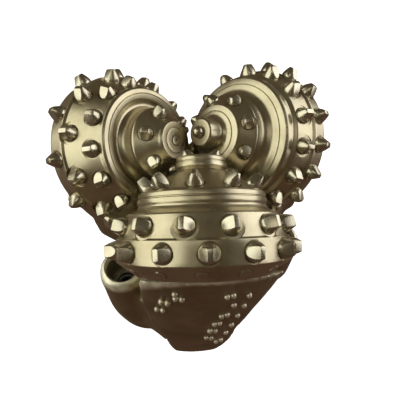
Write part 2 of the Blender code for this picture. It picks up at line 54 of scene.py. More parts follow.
# cone outlines: (distance along the axis, radius, corner rounding)
SHAPE = {
    "3": [(17.5, 0, 0), (17.5, 16.6, 0.5), (18.6, 17.6, 0.5), (20.9, 17.9, 0.1), (21.2, 17.3, 0.1), (21.7, 17.35, 0.1), (22.0, 18.1, 0.1),
          (25.4, 18.8, 1.0), (26.8, 16.6, 0.8), (29.2, 20.8, 0.8), (42.6, 42.9, 0.3), (44.0, 44.5, 0.5), (46.6, 44.9, 0.1), (46.9, 44.2, 0.1),
          (47.4, 44.25, 0.1), (47.8, 45.2, 0.3), (50.6, 45.3, 0.5), (52.6, 44.5, 0.9), (55.2, 46.6, 1.2), (57.5, 52.4, 0.4), (58.3, 53.2, 0.3),
          (72.4, 57.9, 0.25), (73.4, 59.9, 0.35), (88.3, 60.0, 0.5), (98.3, 46.7, 0.4)],
    "1": [(8.5, 0, 0), (8.5, 9.7, 0.4), (9.8, 10.6, 0.3), (20.0, 11.4, 1.2), (22.8, 14.6, 1.2), (23.4, 17.8, 0.1), (23.9, 18.1, 0.1), (23.55, 18.6, 0.1),
          (24.3, 22.9, 0.4), (25.8, 24.0, 0.4), (35.8, 33.1, 1.0), (38.0, 32.0, 1.0), (44.0, 33.0, 2.4), (47.9, 38.2, 1.5), (48.4, 43.2, 0.1),
          (49.0, 43.6, 0.1), (48.5, 44.0, 0.1), (49.5, 48.6, 0.7), (51.6, 49.9, 0.6), (56.5, 50.3, 0.8), (58.5, 53.1, 0.5), (65.0, 55.7, 4.0),
          (72.4, 57.9, 0.25), (73.4, 59.9, 0.35), (88.3, 60.0, 0.5), (98.3, 46.7, 0.4)],
    "2": [(16.0, 0, 0), (16.0, 9.2, 0.1), (16.5, 9.4, 0.1), (16.2, 9.9, 0.1), (16.0, 13.7, 0.4), (17.3, 14.8, 0.4), (18.8, 15.6, 0.6), (33.3, 27.5, 1.0),
          (35.8, 26.9, 1.0), (42.5, 27.2, 2.4), (46.0, 30.4, 1.8), (46.0, 33.2, 1.0), (43.9, 35.6, 0.8), (43.3, 39.6, 0.1), (43.8, 40.0, 0.1),
          (43.35, 40.4, 0.1), (43.7, 43.6, 0.5), (45.2, 45.0, 0.5), (48.2, 45.4, 1.0), (59.5, 51.7, 8.0), (72.4, 57.9, 0.25), (73.4, 59.9, 0.35), (88.3, 60.0, 0.5),
          (98.3, 46.7, 0.4)],
}
BORE = [(98.3, 35.0, 0.3), (91.0, 35.0, 0.1), (91.0, 31.1, 0.1), (69.5, 31.1, 0.2), (65.8, 35.4, 1.0), (60.2, 35.4, 1.0), (56.5, 31.1, 0.2),
        (52.6, 31.1, 0.2), (52.6, 14.5, 0.2), (40.4, 14.5, 0.2), (40.4, 0, 0)]
# rows: base point (t, r), lean, diameter, rise, grip, count, first angle
ROWS = {
    "3": {
        "gage": (80.8, 60.0, -3.0, 12.7, 7.6, 7.0, 14, 0.0),
        "second": (65.6, 55.6, 14.0, 12.7, 8.2, 8.0, 13, 14.0),
        "inner": (39.4, 37.7, 50.0, 11.0, 8.5, 7.0, 10, -9.0),
        "nose": (17.9, 10.6, 65.0, 9.0, 5.5, 6.0, 3, 60.0),
        "heel": (93.7, 52.9, -53.2, 8.0, 0.5, 3.8, 13, -4.0),
    },
    "1": {
        "gage": (80.0, 60.0, -3.0, 12.7, 7.6, 7.0, 17, 8.5),
        "second": (64.6, 55.2, 16.0, 12.7, 8.2, 7.5, 15, 14.0),
        "inner": (31.2, 28.7, 46.0, 11.0, 5.2, 6.0, 8, 11.0),
        "nose": (8.5, 0.0, 90.0, 9.0, 6.0, 7.0, 1, 0.0),
        "heel": (93.7, 52.9, -53.2, 8.0, 0.5, 3.8, 13, 5.0),
    },
    "2": {
        "gage": (80.5, 60.0, -3.0, 12.7, 7.6, 7.0, 11, -7.0),
        "second": (68.0, 55.6, 16.0, 12.7, 8.2, 7.5, 11, 8.0),
        "third": (53.8, 47.8, 28.0, 12.7, 7.2, 7.0, 13, -1.0),
        "inner": (25.6, 21.1, 40.0, 11.0, 6.2, 6.0, 6, -24.0),
        "nose": (16.0, 0.0, 90.0, 8.0, 0.5, 5.0, 1, 0.0),
        "heel": (93.7, 52.9, -53.2, 8.0, 0.5, 3.8, 11, 9.4),
    },
}


# ------------------------------------------------------------------ materials
def nodes_of(name):
    made = bpy.data.materials.new(name)
    made.use_nodes = True
    return made, made.node_tree.nodes, made.node_tree.links, made.node_tree.nodes["Principled BSDF"]


def add(nodes, kind, **values):
    made = nodes.new(kind)
    for key, value in values.items():
        if key in made.inputs:
            made.inputs[key].default_value = value
        else:
            setattr(made, key, value)
    return made


def ramp_of(nodes, stops):
    made = nodes.new("ShaderNodeValToRGB")
    while len(made.color_ramp.elements) < len(stops):
        made.color_ramp.elements.new(0.5)
    for element, (place, colour) in zip(made.color_ramp.elements, stops):
        element.position, element.color = place, (*colour, 1.0)
    return made


def paint(name, dark, mid, light, rough=(0.24, 0.40), turned=0.0, cast=0.0, metallic=0.92, fleck=0.0, sharp_edge_highlight=0.0, edge_highlight_colour=None):
    """Metallic paint: slow colour drift, fine flecks, roughness drift, painted highlights on sharp or marked edges
    where asked, and either lathe rings round Z or a cast grain.
    """
    made, nodes, links, shader = nodes_of(name)
    place = add(nodes, "ShaderNodeTexCoord").outputs["Object"]
    drift = add(nodes, "ShaderNodeTexNoise", Scale=38.0, Detail=5.0, Roughness=0.6)
    links.new(place, drift.inputs["Vector"])
    colours = ramp_of(nodes, [(0.28, dark), (0.5, mid), (0.74, light)])
    links.new(drift.outputs["Fac"], colours.inputs["Fac"])
    last = colours.outputs["Color"]
    grain = add(nodes, "ShaderNodeTexNoise", Scale=1400.0, Detail=2.0, Roughness=0.5)
    links.new(place, grain.inputs["Vector"])
    if fleck:
        mixed = add(nodes, "ShaderNodeMix", data_type="RGBA", blend_type="MULTIPLY")
        mixed.inputs["Factor"].default_value = fleck
        spots = ramp_of(nodes, [(0.35, (0.72, 0.70, 0.66)), (0.65, (1.12, 1.12, 1.10))])
        links.new(grain.outputs["Fac"], spots.inputs["Fac"])
        links.new(last, mixed.inputs["A"])
        links.new(spots.outputs["Color"], mixed.inputs["B"])
        last = mixed.outputs["Result"]
    # painted highlight: sharp convex edges, found by pointiness, are mixed towards pale cream
    if sharp_edge_highlight:
        edge = add(nodes, "ShaderNodeNewGeometry")
        shape = ramp_of(nodes, [(0.50, (0, 0, 0)), (0.60, (1, 1, 1))])
        links.new(edge.outputs["Pointiness"], shape.inputs["Fac"])
        mixed = add(nodes, "ShaderNodeMix", data_type="RGBA", blend_type="MIX")
        scale = add(nodes, "ShaderNodeMath", operation="MULTIPLY")
        scale.inputs[1].default_value = sharp_edge_highlight
        links.new(shape.outputs["Color"], scale.inputs[0])
        links.new(scale.outputs[0], mixed.inputs["Factor"])
        links.new(last, mixed.inputs["A"])
        mixed.inputs["B"].default_value = (0.82, 0.78, 0.62, 1.0)
        last = mixed.outputs["Result"]
    shader.inputs["Metallic"].default_value = metallic
    if edge_highlight_colour:
        # painted highlight: the dressed edges turn pale cream and less metallic, as far as the mesh's own highlight
        # value says
        painted_highlight = add(nodes, "ShaderNodeAttribute")
        painted_highlight.attribute_name = "painted_highlight"
        blotch = add(nodes, "ShaderNodeTexNoise", Scale=210.0, Detail=4.0, Roughness=0.6)
        links.new(place, blotch.inputs["Vector"])
        broken = add(nodes, "ShaderNodeMapRange")
        broken.inputs["From Min"].default_value, broken.inputs["From Max"].default_value = 0.30, 0.58
        broken.inputs["To Min"].default_value, broken.inputs["To Max"].default_value = 0.55, 1.0
        links.new(blotch.outputs["Fac"], broken.inputs["Value"])
        amount = add(nodes, "ShaderNodeMath", operation="MULTIPLY")
        links.new(painted_highlight.outputs["Fac"], amount.inputs[0])
        links.new(broken.outputs["Result"], amount.inputs[1])
        mixed = add(nodes, "ShaderNodeMix", data_type="RGBA", blend_type="MIX")
        mixed.inputs["B"].default_value = (*edge_highlight_colour, 1.0)
        links.new(amount.outputs[0], mixed.inputs["Factor"])
        links.new(last, mixed.inputs["A"])
        last = mixed.outputs["Result"]
        metal = add(nodes, "ShaderNodeMapRange")
        metal.inputs["To Min"].default_value, metal.inputs["To Max"].default_value = metallic, 0.45
        links.new(amount.outputs[0], metal.inputs["Value"])
        links.new(metal.outputs["Result"], shader.inputs["Metallic"])
    links.new(last, shader.inputs["Base Color"])
    patches = add(nodes, "ShaderNodeTexNoise", Scale=75.0, Detail=4.0, Roughness=0.62)
    links.new(place, patches.inputs["Vector"])
    spread = add(nodes, "ShaderNodeMapRange")
    spread.inputs["From Min"].default_value, spread.inputs["From Max"].default_value = 0.3, 0.7
    spread.inputs["To Min"].default_value, spread.inputs["To Max"].default_value = rough
    links.new(patches.outputs["Fac"], spread.inputs["Value"])
    links.new(spread.outputs["Result"], shader.inputs["Roughness"])
    height = grain.outputs["Fac"]
    strength, distance = 0.5, 0.000006
    if turned:
        # lathe feed marks: noise read along the radius and the axis only
        lathe = add(nodes, "ShaderNodeAttribute")
        lathe.attribute_name = "lathe"
        split = add(nodes, "ShaderNodeSeparateXYZ")
        links.new(lathe.outputs["Vector"], split.inputs[0])
        flat = add(nodes, "ShaderNodeCombineXYZ")
        links.new(split.outputs["X"], flat.inputs["X"])
        links.new(split.outputs["Y"], flat.inputs["Y"])
        radius = add(nodes, "ShaderNodeVectorMath", operation="LENGTH")
        links.new(flat.outputs[0], radius.inputs[0])
        rings = add(nodes, "ShaderNodeCombineXYZ")
        links.new(radius.outputs["Value"], rings.inputs["X"])
        links.new(split.outputs["Z"], rings.inputs["Z"])
        marks = add(nodes, "ShaderNodeTexNoise", Scale=950.0, Detail=4.0, Roughness=0.72)
        links.new(rings.outputs[0], marks.inputs["Vector"])
        height, strength, distance = marks.outputs["Fac"], turned, 0.00006
    if cast:
        skin = add(nodes, "ShaderNodeTexNoise", Scale=330.0, Detail=6.0, Roughness=0.66)
        links.new(place, skin.inputs["Vector"])
        height, strength, distance = skin.outputs["Fac"], cast, 0.00035
    bump = add(nodes, "ShaderNodeBump")
    bump.inputs["Strength"].default_value, bump.inputs["Distance"].default_value = strength, distance
    links.new(height, bump.inputs["Height"])
    links.new(bump.outputs["Normal"], shader.inputs["Normal"])
    return made


CONE_PAINT = paint("cone_paint", (0.39, 0.335, 0.21), (0.475, 0.415, 0.27), (0.56, 0.50, 0.34), rough=(0.26, 0.36), turned=0.22, fleck=0.2)
# the inserts carry a pale cream painted highlight along their sharp edges
INSERT_PAINT = paint("insert_paint", (0.40, 0.35, 0.24), (0.49, 0.44, 0.31), (0.58, 0.53, 0.39), rough=(0.21, 0.31), fleck=0.2, sharp_edge_highlight=0.2)
# the leg paint carries a pale cream painted highlight on the nozzle boss's lip and the shirttail's top edge
LEG_PAINT = paint("leg_paint", (0.27, 0.225, 0.135), (0.36, 0.305, 0.185), (0.45, 0.39, 0.25), rough=(0.32, 0.46), cast=0.45, fleck=0.3, edge_highlight_colour=(0.86, 0.82, 0.62))
PIN_PAINT = paint("pin_paint", (0.34, 0.295, 0.195), (0.42, 0.37, 0.255), (0.49, 0.44, 0.32), rough=(0.26, 0.38), turned=0.4, fleck=0.3)
BEAD_PAINT = paint("bead_paint", (0.50, 0.44, 0.31), (0.60, 0.54, 0.39), (0.70, 0.64, 0.48), rough=(0.42, 0.54), metallic=0.7, cast=0.3, fleck=0.3)
STEEL = paint("oiled_steel", (0.30, 0.30, 0.30), (0.42, 0.42, 0.43), (0.52, 0.52, 0.54), rough=(0.22, 0.42), metallic=1.0)
CARBIDE = paint("ground_carbide", (0.14, 0.14, 0.145), (0.20, 0.20, 0.205), (0.27, 0.27, 0.28), rough=(0.28, 0.42), metallic=0.9, turned=0.25)
BALL = paint("polished_steel", (0.58, 0.58, 0.60), (0.66, 0.67, 0.69), (0.74, 0.75, 0.77), rough=(0.10, 0.20), metallic=1.0)
BRONZE = paint("bearing_bronze", (0.48, 0.31, 0.12), (0.62, 0.43, 0.19), (0.72, 0.54, 0.28), rough=(0.22, 0.38), metallic=1.0, turned=0.3)
RUBBER = paint("nitrile_rubber", (0.012, 0.012, 0.012), (0.022, 0.022, 0.022), (0.035, 0.034, 0.033), rough=(0.45, 0.65), metallic=0.0, cast=0.1)


# ------------------------------------------------------------------ mesh helpers, in millimetres
def rounded(outline, steps=4):
    """(t, r, rounding) corners as a finer polyline with arcs at the corners."""
    points = []
    for i, (t, r, fillet) in enumerate(outline):
        here = Vector((t, r))
        if fillet <= 0 or i in (0, len(outline) - 1):
            points.append(here)
            continue
        before, after = Vector(outline[i - 1][:2]), Vector(outline[i + 1][:2])
        one, two = (before - here), (after - here)
        reach = min(fillet * 1.2, one.length * 0.45, two.length * 0.45)
        a, b = here + one.normalized() * reach, here + two.normalized() * reach
        for k in range(steps + 1):
            s = k / steps
            points.append(a * (1 - s) ** 2 + here * 2 * s * (1 - s) + b * s ** 2)
    return points


def divided(points, longest):
    out = [points[0]]
    for a, b in zip(points, points[1:]):
        parts = max(1, int((b - a).length / longest))
        out += [a.lerp(b, k / parts) for k in range(1, parts + 1)]
    return out


def revolve(points, count, phase=0.0, closed=True):
    """Outline of (t, r) points turned about Z."""
    bm = bmesh.new()
    rings = []
    for t, r in points:
        if r < 1e-6:
            rings.append([bm.verts.new((0, 0, t))])
        else:
            rings.append([bm.verts.new((r * math.cos(phase + 2 * math.pi * k / count), r * math.sin(phase + 2 * math.pi * k / count), t)) for k in range(count)])
    pairs = list(zip(rings, rings[1:] + rings[:1])) if closed else list(zip(rings, rings[1:]))
    for a, b in pairs:
        if len(a) == 1 and len(b) == 1:
            continue
        for k in range(count):
            m = (k + 1) % count
            if len(a) == 1:
                bm.faces.new((a[0], b[k], b[m]))
            elif len(b) == 1:
                bm.faces.new((a[k], b[0], a[m]))
            else:
                bm.faces.new((a[k], b[k], b[m], a[m]))
    upright(bm)
    return bm


def upright(bm):
    bmesh.ops.recalc_face_normals(bm, faces=bm.faces)
    if bm.calc_volume(signed=True) < 0:
        bmesh.ops.reverse_faces(bm, faces=bm.faces)


def loft(sections):
    bm = bmesh.new()
    rings = [[bm.verts.new(p) for p in section] for section in sections]
    count = len(rings[0])
    for a, b in zip(rings, rings[1:]):
        for k in range(count):
            m = (k + 1) % count
            bm.faces.new((a[k], a[m], b[m], b[k]))
    bm.faces.new(rings[0])
    bm.faces.new(rings[-1])
    upright(bm)
    return bm


def rod(start, end, radius, count=32):
    start, end = Vector(start), Vector(end)
    axis = (end - start).normalized()
    side = axis.orthogonal().normalized()
    other = axis.cross(side)
    return loft([[p + radius * (math.cos(2 * math.pi * k / count) * side + math.sin(2 * math.pi * k / count) * other) for k in range(count)] for p in (start, end)])


def as_object(name, bm, matrix=None):
    """Object whose mesh is in metres in its own frame, placed by matrix (in millimetres)."""
    mesh = bpy.data.meshes.new(name)
    bmesh.ops.scale(bm, vec=(MM, MM, MM), verts=bm.verts)
    bm.to_mesh(mesh)
    bm.free()
    obj = bpy.data.objects.new(name, mesh)
    scene.collection.objects.link(obj)
    if matrix is not None:
        world = matrix.copy()
        world.translation = world.translation * MM
        obj.matrix_world = world
    return obj


def apply_all(obj):
    bpy.context.view_layer.update()
    graph = bpy.context.evaluated_depsgraph_get()
    mesh = bpy.data.meshes.new_from_object(obj.evaluated_get(graph), depsgraph=graph)
    obj.modifiers.clear()
    obj.data = mesh


def combine(obj, others, operation, solver="MANIFOLD"):
    for other in others:
        step = obj.modifiers.new("step", "BOOLEAN")
        step.operation, step.solver, step.object = operation, solver, other
        apply_all(obj)
        bpy.data.objects.remove(other, do_unlink=True)
    return obj


def smooth(obj, angle=32.0):
    obj.data.shade_smooth()
    obj.data.set_sharp_from_angle(angle=math.radians(angle))


def settle(obj):
    """Moves the object's place into its mesh, as the CAD nodes have it. "lathe" keeps the coordinates round its own axis."""
    if obj.data.users > 1:
        obj.data = obj.data.copy()
    own = [value for vert in obj.data.vertices for value in vert.co]
    obj.data.attributes.new("lathe", "FLOAT_VECTOR", "POINT").data.foreach_set("vector", own)
    obj.data.transform(obj.matrix_world)
    obj.matrix_world = Matrix.Identity(4)


def dress(obj, material, body, replaced=(), angle=32.0):
    settle(obj)
    obj.data.materials.clear()
    obj.data.materials.append(material)
    smooth(obj, angle)
    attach(obj, body)
    if replaced:
        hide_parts(*replaced)
    return obj


# ------------------------------------------------------------------ frames
def leg_matrix(key):
    return Matrix.Translation((0, 0, APEX_Z)) @ Matrix.Rotation(math.radians(LEG_ANGLES[key]), 4, "Z")


def cone_in_leg():
    z = Vector((math.cos(J), 0.0, -math.sin(J)))
    x = Vector((math.sin(J), 0.0, math.cos(J)))
    made = Matrix((x, z.cross(x), z)).transposed().to_4x4()
    made.translation = Vector((0.0, OFFSET, 0.0))
    return made


CONE_IN_LEG = cone_in_leg()


def insert_matrix(t, r, lean, angle):
    """Frame of one insert: X round the cone, Y towards the nose-back line, Z out of the skin."""
    a, e = math.radians(-angle), math.radians(lean)
    radial, axial = Vector((math.cos(a), math.sin(a), 0.0)), Vector((0.0, 0.0, 1.0))
    out = math.cos(e) * radial - math.sin(e) * axial
    side = math.sin(e) * radial + math.cos(e) * axial
    made = Matrix((side.cross(out), side, out)).transposed().to_4x4()
    made.translation = r * radial + t * axial
    return made


# ------------------------------------------------------------------ inserts
def turned_blank(outline, count=40):
    return revolve([Vector(p) for p in outline], count)


def chisel(diameter, rise, grip, crest=3.0, tip=0.60):
    """Round stud with conical ends and two flat flanks that meet in a narrow flat crest."""
    radius = diameter / 2
    top = radius * tip
    bm = turned_blank([(-grip, 0), (-grip, radius - 0.6), (-grip + 0.6, radius), (0.6, radius), (1.3, radius - 0.12), (rise * 0.5, radius - 0.38 * (radius - top)),
                       (rise - 0.5, top + 0.12), (rise - 0.12, top - 0.25), (rise, top - 0.7), (rise + 0.03, 0)])
    for sign in (1.0, -1.0):
        high, low = Vector((sign * crest / 2, 0, rise)), Vector((sign * radius * 0.985, 0, 0.9))
        along = high - low
        normal = Vector((abs(along.z) * sign, 0, abs(along.x))).normalized()
        cut = bmesh.ops.bisect_plane(bm, geom=bm.verts[:] + bm.edges[:] + bm.faces[:], dist=1e-5, plane_co=high, plane_no=normal, clear_outer=True)
        rim = [g for g in cut["geom_cut"] if isinstance(g, bmesh.types.BMEdge)]
        bmesh.ops.edgeloop_fill(bm, edges=rim)
    bmesh.ops.dissolve_degenerate(bm, dist=1e-4, edges=bm.edges[:])
    upright(bm)
    bm.normal_update()
    sharp = [e for e in bm.edges if len(e.link_faces) == 2 and e.calc_face_angle(0) > math.radians(24) and min(v.co.z for v in e.verts) > -1.0]
    bmesh.ops.bevel(bm, geom=sharp, offset=0.24, offset_type="OFFSET", segments=2, profile=0.6, affect="EDGES", clamp_overlap=True)
    return bm


def dome(diameter, rise, grip):
    radius = diameter / 2
    outline = [(-grip, 0), (-grip, radius - 0.5), (-grip + 0.5, radius)]
    outline += [(rise * math.sin(q), max(radius * math.cos(q) ** 0.85, 0.0)) for q in [k * math.pi / 2 / 12 for k in range(12)]] + [(rise, 0)]
    return turned_blank(outline, 48)


def button(diameter, rise, grip):
    """Flush gage compact: flat face, chamfered rim, shallow crown."""
    radius = diameter / 2
    return turned_blank([(-grip, 0), (-grip, radius - 0.4), (-grip + 0.4, radius), (rise - 0.45, radius), (rise - 0.05, radius - 0.5), (rise + 0.12, radius * 0.5), (rise + 0.16, 0)], 40)


def blank_for(key, name, row):
    t, r, lean, diameter, rise, grip, count, first = row
    if name == "heel" or (key == "2" and name == "nose"):
        return button(diameter, rise, grip)
    if key == "1" and name == "nose":
        return dome(diameter, rise, grip)
    if name == "nose":
        return chisel(diameter, rise, grip, crest=1.6, tip=0.42)
    if name in ("inner",):
        return chisel(diameter, rise, grip, crest=2.4, tip=0.56)
    return chisel(diameter, rise, grip)


def row_object(key, name, row):
    t, r, lean, diameter, rise, grip, count, first = row
    blank = blank_for(key, name, row)
    one = bpy.data.meshes.new("blank")
    blank.to_mesh(one)
    blank.free()
    bm = bmesh.new()
    for number in range(count):
        before = len(bm.verts)
        bm.from_mesh(one)
        bm.verts.ensure_lookup_table()
        bmesh.ops.transform(bm, matrix=insert_matrix(t, r, lean, first + 360.0 * number / count), verts=bm.verts[before:])
    bpy.data.meshes.remove(one)
    obj = as_object(f"looks_cone_{key}_{name}", bm, leg_matrix(key) @ CONE_IN_LEG)
    node = f"cone_{key}_{name}_inserts" if count > 1 else f"cone_{key}_{name}_insert"
    return dress(obj, INSERT_PAINT, f"cone_{key}", [node], angle=30)


def sockets(key):
    """All the holes of a cone as one cutter mesh: a spot face and a drilled hole under each insert."""
    bm = bmesh.new()
    for name, (t, r, lean, diameter, rise, grip, count, first) in ROWS[key].items():
        radius = diameter / 2
        flush = rise < 1
        face = 0.12 if flush else 0.5
        wide = radius + (0.25 if flush else 2.2 if name == "second" else 1.0)
        reach = 3.0 if flush else 7.0
        outline = [(-grip - 0.35, 0), (-grip - 0.35, radius + 0.28), (-face, radius + 0.28), (-face, wide), (reach, wide + (0 if flush else 0.9)), (reach, 0)]
        one = bpy.data.meshes.new("cutter")
        made = revolve([Vector(p) for p in outline], 40)
        made.to_mesh(one)
        made.free()
        for number in range(count):
            before = len(bm.verts)
            bm.from_mesh(one)
            bm.verts.ensure_lookup_table()
            bmesh.ops.transform(bm, matrix=insert_matrix(t, r, lean, first + 360.0 * number / count), verts=bm.verts[before:])
        bpy.data.meshes.remove(one)
    return bm


# ------------------------------------------------------------------ cones
for key in SHAPE:
    outline = divided(rounded(SHAPE[key]), 2.2) + divided(rounded(BORE), 6.0)
    world = leg_matrix(key) @ CONE_IN_LEG
    shell = as_object(f"looks_cone_{key}_shell", revolve(outline, 180), world)
    cutter = as_object("cutter", sockets(key), world)
    combine(shell, [cutter], "DIFFERENCE")
    dress(shell, CONE_PAINT, f"cone_{key}", [f"cone_{key}_shell"], angle=26)
    for name, row in ROWS[key].items():
        row_object(key, name, row)


# ------------------------------------------------------------------ legs
def local(radius, angle, depth):
    a = math.radians(angle)
    return Vector((radius * math.cos(a), radius * math.sin(a), -depth))


def plain(points):
    return [Vector((z, r)) for r, z in points]


def soft_outline(corners, steps=5, reach=7.0):
    """Closed outline with its corners cut back to curves."""
    out = []
    for i, here in enumerate(corners):
        here = Vector(here)
        before, after = Vector(corners[i - 1]), Vector(corners[(i + 1) % len(corners)])
        a = here + (before - here).normalized() * min(reach, (before - here).length * 0.45)
        b = here + (after - here).normalized() * min(reach, (after - here).length * 0.45)
        out += [a * (1 - s) ** 2 + here * 2 * s * (1 - s) + b * s ** 2 for s in [k / steps for k in range(steps + 1)]]
    return out


def forging():
    """One leg above the shank in the leg frame, before machining."""
    envelope = [
        (0.0, -212.0), (NECK_R - 0.6, -212.0), (NECK_R, -210.0), (NECK_R, -NECK_DEPTH - 1), (NECK_R + 2.0, -NECK_DEPTH + 2.5), (ARM_LOW_R - 3.5, -CORNER_DEPTH - 2.5),
        (ARM_LOW_R, -CORNER_DEPTH + 3.0), (ARM_R, -140.0), (ARM_R, 0.0), (0.0, 0.0),
    ]
    body = as_object("forging", revolve(plain(envelope), 144))
    arm = [
        (44.0, 0.0), (66.0, -30.0), (65.5, -57.0), (54.5, -73.0), (42.5, -105.0), (33.5, -130.0), (30.5, -163.0), (24.0, -178.0), (17.0, -188.0),
        (17.0, -215.0), (-17.0, -215.0), (-19.0, -188.0), (-23.0, -172.0), (-26.0, -150.0), (-28.0, -134.0), (-37.0, -112.0), (-40.0, -80.0), (-40.0, 0.0),
    ]
    block = as_object("arm", loft([[Vector((x, p.x, p.y)) for p in soft_outline(arm, 4, 6.0)] for x in (20.0, 120.0)]))
    core = [
        (0.0, -213.0), (NECK_R + 1.0, -213.0), (NECK_R + 1.0, -196.0), (77.0, -184.0), (74.0, -150.0), (68.0, -126.0), (56.0, -108.0), (0.0, -108.0),
    ]
    keep = as_object("keep", revolve(plain(core), 120))
    web_plan = [local(60, -46, 0), local(89, -43, 0), local(93, -17, 0), local(60, -17, 0)]
    web = as_object("web", loft([[Vector((p.x, p.y, -z)) for p in web_plan] for z in (186.0, 121.0)]))
    combine(keep, [block, web], "UNION")
    combine(body, [keep], "INTERSECT")
    sections = []
    for depth, radius, reach, angle in (
        (BOSS_TOP, 15.2, BOSS_R, BOSS_ANGLE), (BOSS_TOP + 0.6, 16.6, BOSS_R, BOSS_ANGLE), (BOSS_TOP + 2.0, 18.0, BOSS_R, BOSS_ANGLE), (BOSS_TOP + 4.4, 19.2, BOSS_R, BOSS_ANGLE),
        (BOSS_TOP + 7.5, 19.7, BOSS_R, BOSS_ANGLE),
        (152.0, 19.6, 80.5, -48.3),
        (158.5, 19.5, 80.1, -47.1), (165.0, 19.3, 79.6, -45.8), (172.0, 19.0, 78.6, -43.6), (179.0, 18.6, 77.5, -41.4), (188.0, 17.4, 75.0, -38.7), (196.0, 15.6, 72.2, -36.3),
    ):
        centre = local(reach, angle, depth)
        sections.append([centre + Vector((radius * math.cos(2 * math.pi * k / 64), radius * math.sin(2 * math.pi * k / 64), 0)) for k in range(64)])
    combine(body, [as_object("boss", loft(sections))], "UNION")
    pockets = []
    for turn in (0.0, 120.0, -120.0):
        bm = revolve([Vector(p) for p in ((-30.0, 0.0), (-30.0, 60.0), (55.0, 71.5), (BACK_T, 71.5), (BACK_T, 0.0))], 96)
        bm.transform(Matrix.Rotation(math.radians(turn), 4, "Z") @ CONE_IN_LEG)
        pockets.append(as_object("pocket", bm))
    combine(body, pockets, "DIFFERENCE")
    # forged skin: even voxels, then relaxed so that every edge is rounded
    step = body.modifiers.new("skin", "REMESH")
    step.mode, step.voxel_size = "VOXEL", 0.0014
    apply_all(body)
    step = body.modifiers.new("relax", "SMOOTH")
    step.factor, step.iterations = 0.5, 13
    apply_all(body)
    # deeper fillet in the valley between the nozzle boss and the arm
    valley = body.vertex_groups.new(name="valley")
    for vert in body.data.vertices:
        x, y, depth = vert.co.x / MM, vert.co.y / MM, -vert.co.z / MM
        angle, reach = math.degrees(math.atan2(y, x)), math.hypot(x, y)
        weight = max(0.0, 1 - abs(angle + 33.5) / 13.5) * min(1.0, max(0.0, (reach - 72) / 6)) * min(1.0, max(0.0, (depth - 92) / 12)) * min(1.0, max(0.0, (207 - depth) / 8))
        if weight > 0:
            valley.add([vert.index], min(1.0, 1.6 * weight), "REPLACE")
    step = body.modifiers.new("fillet", "SMOOTH")
    step.factor, step.iterations, step.vertex_group = 0.5, 70, "valley"
    apply_all(body)
    lip = body.vertex_groups.new(name="lip")
    for vert in body.data.vertices:
        x, y, depth = vert.co.x / MM, vert.co.y / MM, -vert.co.z / MM
        t = x * math.cos(J) + depth * math.sin(J)
        weight = min(1.0, max(0.0, (math.hypot(x, y) - 93.0) / 4)) * min(1.0, max(0.0, (112.0 - t) / 6))
        if weight > 0:
            lip.add([vert.index], weight, "REPLACE")
    step = body.modifiers.new("lip", "SMOOTH")
    step.factor, step.iterations, step.vertex_group = 0.5, 34, "lip"
    apply_all(body)
    # hand-dressed top edge of the shirttail, and the slight waviness of a forged skin
    moved = []
    for vert in body.data.vertices:
        x, y, depth = vert.co.x / MM, vert.co.y / MM, -vert.co.z / MM
        reach, t = math.hypot(x, y), x * math.cos(J) + depth * math.sin(J)
        edge = max(0.0, 1 - abs(t - 101.5) / 5.5) * min(1.0, max(0.0, (reach - 98.5) / 3))
        skin = min(1.0, max(0.0, (reach - 76) / 4)) * min(1.0, max(0.0, (t - 99.8) / 3))
        spot = Vector((x, y, depth))
        swell = 1.1 * edge * (noise.noise(spot * 0.17) - 0.15) + 0.55 * edge * noise.noise(spot * 0.42) + 0.28 * skin * noise.noise(spot * 0.06)
        moved += tuple(vert.co + vert.normal * min(swell, 0.5) * MM)
    body.data.vertices.foreach_set("co", moved)
    body.data.update()
    return body


def machined(body, key):
    """Seams, bores and pockets cut into a copy of the forging."""
    mid = math.radians((52.0 - 68.0) / 2)
    low, high = math.radians(-68.0), math.radians(52.0)
    tip = 0.15 / math.sin((high - low) / 2)
    start = Vector((tip * math.cos(mid), tip * math.sin(mid)))
    sector = [[Vector((start.x, start.y, z)), Vector((start.x + 260 * math.cos(low), start.y + 260 * math.sin(low), z)),
               Vector((start.x + 400 * math.cos(mid), start.y + 400 * math.sin(mid), z)), Vector((start.x + 260 * math.cos(high), start.y + 260 * math.sin(high), z))] for z in (-330.0, 20.0)]
    combine(body, [as_object("sector", loft(sector))], "INTERSECT")
    bore = revolve(plain([(0.0, -240.0), (BORE_R, -240.0), (BORE_R, -172.0), (16.0, -156.0), (0.0, -152.0)]), 96)
    passage = rod(local(6.0, BOSS_ANGLE, 178.0), local(BOSS_R - 2.0, BOSS_ANGLE, 163.5), 8.5, 32)
    hole = revolve(plain([(0.0, -170.0), (8.8, -170.0), (8.8, -155.0), (BOSS_HOLE_R, -154.5), (BOSS_HOLE_R, -149.0), (14.6, -149.0), (14.6, -145.4), (BOSS_HOLE_R, -145.4), (BOSS_HOLE_R, -131.6),
                          (14.4, -131.6), (14.4, -129.0), (BOSS_HOLE_R, -129.0), (BOSS_HOLE_R, -103.4), (12.75, -102.2), (13.15, -101.0), (13.8, -99.95), (14.6, -99.2), (15.5, -98.75), (16.4, -98.6), (16.4, -85.0), (0.0, -85.0)]), 64)
    hole.transform(Matrix.Translation(local(BOSS_R, BOSS_ANGLE, 0)))
    well = revolve([Vector(p) for p in ((-8.0, 0.0), (-8.0, 12.2), (0.2, 11.6), (1.0, 11.0), (1.6, 11.0), (1.6, 12.6), (3.6, 12.6), (3.6, 11.0), (30.0, 11.0), (30.0, 0.0))], 64)
    well.transform(reservoir_frame())
    a, b = plug_line()
    along = (b - a).normalized()
    cutters = [as_object("cut", bm) for bm in (bore, passage, hole, well, rod(a + 3.2 * along, b + 2 * along, 5.0, 32))]
    combine(body, cutters, "DIFFERENCE")
    return body


